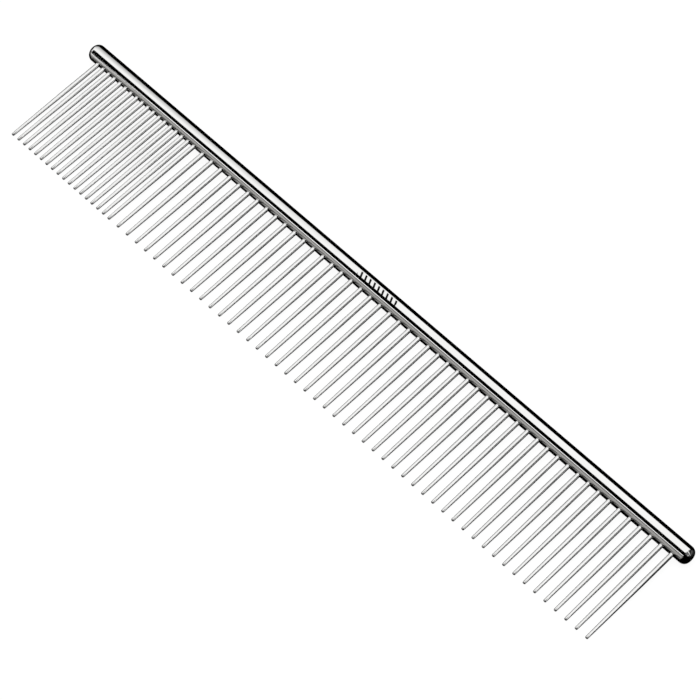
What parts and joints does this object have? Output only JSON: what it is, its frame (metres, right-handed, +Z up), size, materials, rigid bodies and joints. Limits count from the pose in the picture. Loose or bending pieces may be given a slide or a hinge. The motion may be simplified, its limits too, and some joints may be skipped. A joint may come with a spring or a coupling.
{
  "type": "grooming comb",
  "caption": "Straight steel grooming comb: a polished round bar as spine, with one row of tapered round pins set close together at one end and wider apart along the rest.",
  "frame": {"origin": "middle of the comb's footprint, on the level surface that it lies on", "axes": "+X along the bar, towards the end with the widely spaced pins; +Y from the pins' tips towards the back of the bar; +Z up"},
  "size_m": [0.254, 0.0424, 0.006],
  "materials": {
    "bar": "mirror polished",
    "fine_pins": "polished along the wire, slightly softer than the bar",
    "coarse_pins": "polished along the wire, slightly softer than the bar"
  },
  "bodies": {
    "root": {"spine_bar": "bar", "fine_pin_01": "fine_pins", "fine_pin_02": "fine_pins", "fine_pin_03": "fine_pins", "fine_pin_04": "fine_pins", "fine_pin_05": "fine_pins", "fine_pin_06": "fine_pins", "fine_pin_07": "fine_pins", "fine_pin_08": "fine_pins", "fine_pin_09": "fine_pins", "fine_pin_10": "fine_pins", "fine_pin_11": "fine_pins", "fine_pin_12": "fine_pins", "fine_pin_13": "fine_pins", "fine_pin_14": "fine_pins", "fine_pin_15": "fine_pins", "fine_pin_16": "fine_pins", "fine_pin_17": "fine_pins", "fine_pin_18": "fine_pins", "coarse_pin_01": "coarse_pins", "coarse_pin_02": "coarse_pins", "coarse_pin_03": "coarse_pins", "coarse_pin_04": "coarse_pins", "coarse_pin_05": "coarse_pins", "coarse_pin_06": "coarse_pins", "coarse_pin_07": "coarse_pins", "coarse_pin_08": "coarse_pins", "coarse_pin_09": "coarse_pins", "coarse_pin_10": "coarse_pins", "coarse_pin_11": "coarse_pins", "coarse_pin_12": "coarse_pins", "coarse_pin_13": "coarse_pins", "coarse_pin_14": "coarse_pins", "coarse_pin_15": "coarse_pins", "coarse_pin_16": "coarse_pins", "coarse_pin_17": "coarse_pins", "coarse_pin_18": "coarse_pins", "coarse_pin_19": "coarse_pins", "coarse_pin_20": "coarse_pins", "coarse_pin_21": "coarse_pins", "coarse_pin_22": "coarse_pins", "coarse_pin_23": "coarse_pins", "coarse_pin_24": "coarse_pins", "coarse_pin_25": "coarse_pins", "coarse_pin_26": "coarse_pins", "coarse_pin_27": "coarse_pins", "coarse_pin_28": "coarse_pins", "coarse_pin_29": "coarse_pins", "coarse_pin_30": "coarse_pins", "coarse_pin_31": "coarse_pins", "coarse_pin_32": "coarse_pins", "coarse_pin_33": "coarse_pins", "coarse_pin_pair_34_35": "coarse_pins", "coarse_pin_pair_36_37": "coarse_pins", "coarse_pin_pair_38_39": "coarse_pins", "coarse_pin_pair_40_41": "coarse_pins", "coarse_pin_pair_42_43": "coarse_pins", "coarse_pin_pair_44_45": "coarse_pins", "coarse_pin_pair_46_47": "coarse_pins", "coarse_pin_pair_48_49": "coarse_pins"}
  },
  "joints": []
}
